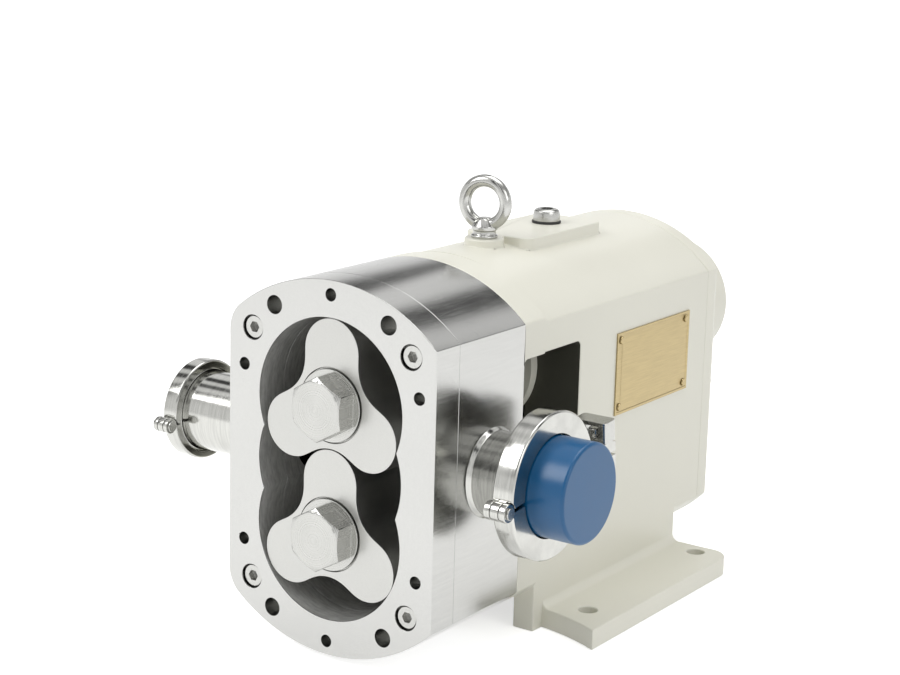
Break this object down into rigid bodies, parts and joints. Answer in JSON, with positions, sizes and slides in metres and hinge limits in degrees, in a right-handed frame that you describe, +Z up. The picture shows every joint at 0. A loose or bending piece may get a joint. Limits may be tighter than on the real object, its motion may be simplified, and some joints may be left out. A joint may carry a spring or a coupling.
{
  "type": "rotary lobe pump",
  "caption": "Rotary lobe pump with an open head showing two three-lobe rotors, capped clamp ports on both sides, and a foot-mounted gearbox with timing gears and a drive shaft.",
  "frame": {"origin": "centre of the four foot bolts on the base plane", "axes": "+Z up, +Y towards the drive end, +X towards the right-hand port seen from the open head"},
  "size_m": [0.301, 0.4732, 0.2726],
  "materials": {
    "cast_paint": "semi-gloss cream enamel over cast iron",
    "head_steel": "ground stainless steel",
    "rotor_steel": "fine turned and milled stainless steel",
    "polished_steel": "polished stainless tube",
    "screw_steel": "turned stainless screws",
    "shaft_steel": "ground shaft steel",
    "gear_steel": "hardened gear steel",
    "bearing_steel": "polished bearing steel",
    "seal_black": "nitrile rubber",
    "seal_face": "carbon seal face",
    "cap_blue": "satin blue polyethylene",
    "plate_gold": "brushed gold plate",
    "glass_clear": "clear glass"
  },
  "bodies": {
    "root": {"gearbox_housing": "cast_paint", "rear_cover": "cast_paint", "rear_cover_screws": "screw_steel", "rotor_case": "head_steel", "front_ring": "head_steel", "case_screws": "screw_steel", "right_port": "polished_steel", "left_port": "polished_steel", "bearing_cover": "cast_paint", "bearing_cover_screws": "screw_steel", "front_lip_seals": "seal_black", "drive_lip_seal": "seal_black", "bearing_outer_races": "bearing_steel", "stationary_seals": "seal_face", "eye_bolt": "screw_steel", "filler_plug": "screw_steel", "filler_seal": "seal_black", "drain_plug": "screw_steel", "sight_glass_ring": "screw_steel", "sight_glass_lens": "glass_clear", "nameplate": "plate_gold", "nameplate_rivets": "screw_steel", "right_clamp_fixed_half": "polished_steel", "left_clamp_fixed_half": "polished_steel", "right_clamp_hinge_pin": "screw_steel", "left_clamp_hinge_pin": "screw_steel", "right_clamp_bolt_pin": "screw_steel", "left_clamp_bolt_pin": "screw_steel"},
    "drive_train": {"drive_shaft": "shaft_steel", "drive_rotor": "rotor_steel", "drive_rotor_bolt": "rotor_steel", "drive_gear": "gear_steel", "drive_gear_key": "shaft_steel", "drive_gear_nut": "shaft_steel", "drive_spacer": "shaft_steel", "drive_seal_ring": "seal_face", "drive_inner_races": "bearing_steel"},
    "drive_balls": {"drive_bearing_balls": "bearing_steel"},
    "driven_train": {"driven_shaft": "shaft_steel", "driven_rotor": "rotor_steel", "driven_rotor_bolt": "rotor_steel", "driven_gear": "gear_steel", "driven_gear_key": "shaft_steel", "driven_gear_nut": "shaft_steel", "driven_spacer": "shaft_steel", "driven_seal_ring": "seal_face", "driven_inner_races": "bearing_steel"},
    "driven_balls": {"driven_bearing_balls": "bearing_steel"},
    "right_clamp_half": {"right_clamp_moving_half": "polished_steel"},
    "right_swing_bolt": {"right_clamp_bolt": "screw_steel"},
    "right_bow_nut": {"right_clamp_nut": "screw_steel"},
    "right_port_cap": {"right_cap": "cap_blue"},
    "left_clamp_half": {"left_clamp_moving_half": "polished_steel"},
    "left_swing_bolt": {"left_clamp_bolt": "screw_steel"},
    "left_bow_nut": {"left_clamp_nut": "screw_steel"},
    "left_port_cap": {"left_cap": "polished_steel"}
  },
  "joints": [
    {"name": "drive_spin", "type": "hinge", "parent": "root", "child": "drive_train", "pos_m": [0, 0, 0.155], "axis": [0, 1, 0], "continuous": true},
    {"name": "driven_spin", "type": "hinge", "parent": "root", "child": "driven_train", "pos_m": [0, 0, 0.077], "axis": [0, 1, 0], "continuous": true},
    {"name": "drive_balls_spin", "type": "hinge", "parent": "root", "child": "drive_balls", "pos_m": [0, 0, 0.155], "axis": [0, 1, 0], "continuous": true},
    {"name": "driven_balls_spin", "type": "hinge", "parent": "root", "child": "driven_balls", "pos_m": [0, 0, 0.077], "axis": [0, 1, 0], "continuous": true},
    {"name": "right_bolt_swing", "type": "hinge", "parent": "root", "child": "right_swing_bolt", "pos_m": [0.111, -0.09178, 0.114], "axis": [-1, 0, 0], "range_deg": [0, 100]},
    {"name": "right_nut_travel", "type": "slide", "parent": "right_swing_bolt", "child": "right_bow_nut", "axis": [0, -0.1045, 0.9945], "range_m": [0, 0.007]},
    {"name": "right_clamp_opening", "type": "hinge", "parent": "root", "child": "right_clamp_half", "pos_m": [0.111, -0.19604, 0.11109], "axis": [1, 0, 0], "range_deg": [0, 3.9]},
    {"name": "right_cap_pull", "type": "slide", "parent": "root", "child": "right_port_cap", "axis": [1, 0, 0], "range_m": [0, 0.06]},
    {"name": "left_bolt_swing", "type": "hinge", "parent": "root", "child": "left_swing_bolt", "pos_m": [-0.148, -0.10272, 0.11285], "axis": [-1, 0, 0], "range_deg": [0, 100]},
    {"name": "left_nut_travel", "type": "slide", "parent": "left_swing_bolt", "child": "left_bow_nut", "axis": [0, -0.1045, 0.9945], "range_m": [0, 0.007]},
    {"name": "left_clamp_opening", "type": "hinge", "parent": "root", "child": "left_clamp_half", "pos_m": [-0.148, -0.1851, 0.11224], "axis": [1, 0, 0], "range_deg": [0, 4.95]},
    {"name": "left_cap_pull", "type": "slide", "parent": "root", "child": "left_port_cap", "axis": [-1, 0, 0], "range_m": [0, 0.06]}
  ],
  "couplings": [
    {"joint": "driven_spin", "follows": "drive_spin", "ratio": -1},
    {"joint": "drive_balls_spin", "follows": "drive_spin", "ratio": 0.3965},
    {"joint": "driven_balls_spin", "follows": "drive_spin", "ratio": -0.3965},
    {"joint": "right_clamp_opening", "follows": "right_nut_travel", "rad_per_m": 9.6154},
    {"joint": "left_clamp_opening", "follows": "left_nut_travel", "rad_per_m": 12.195}
  ]
}
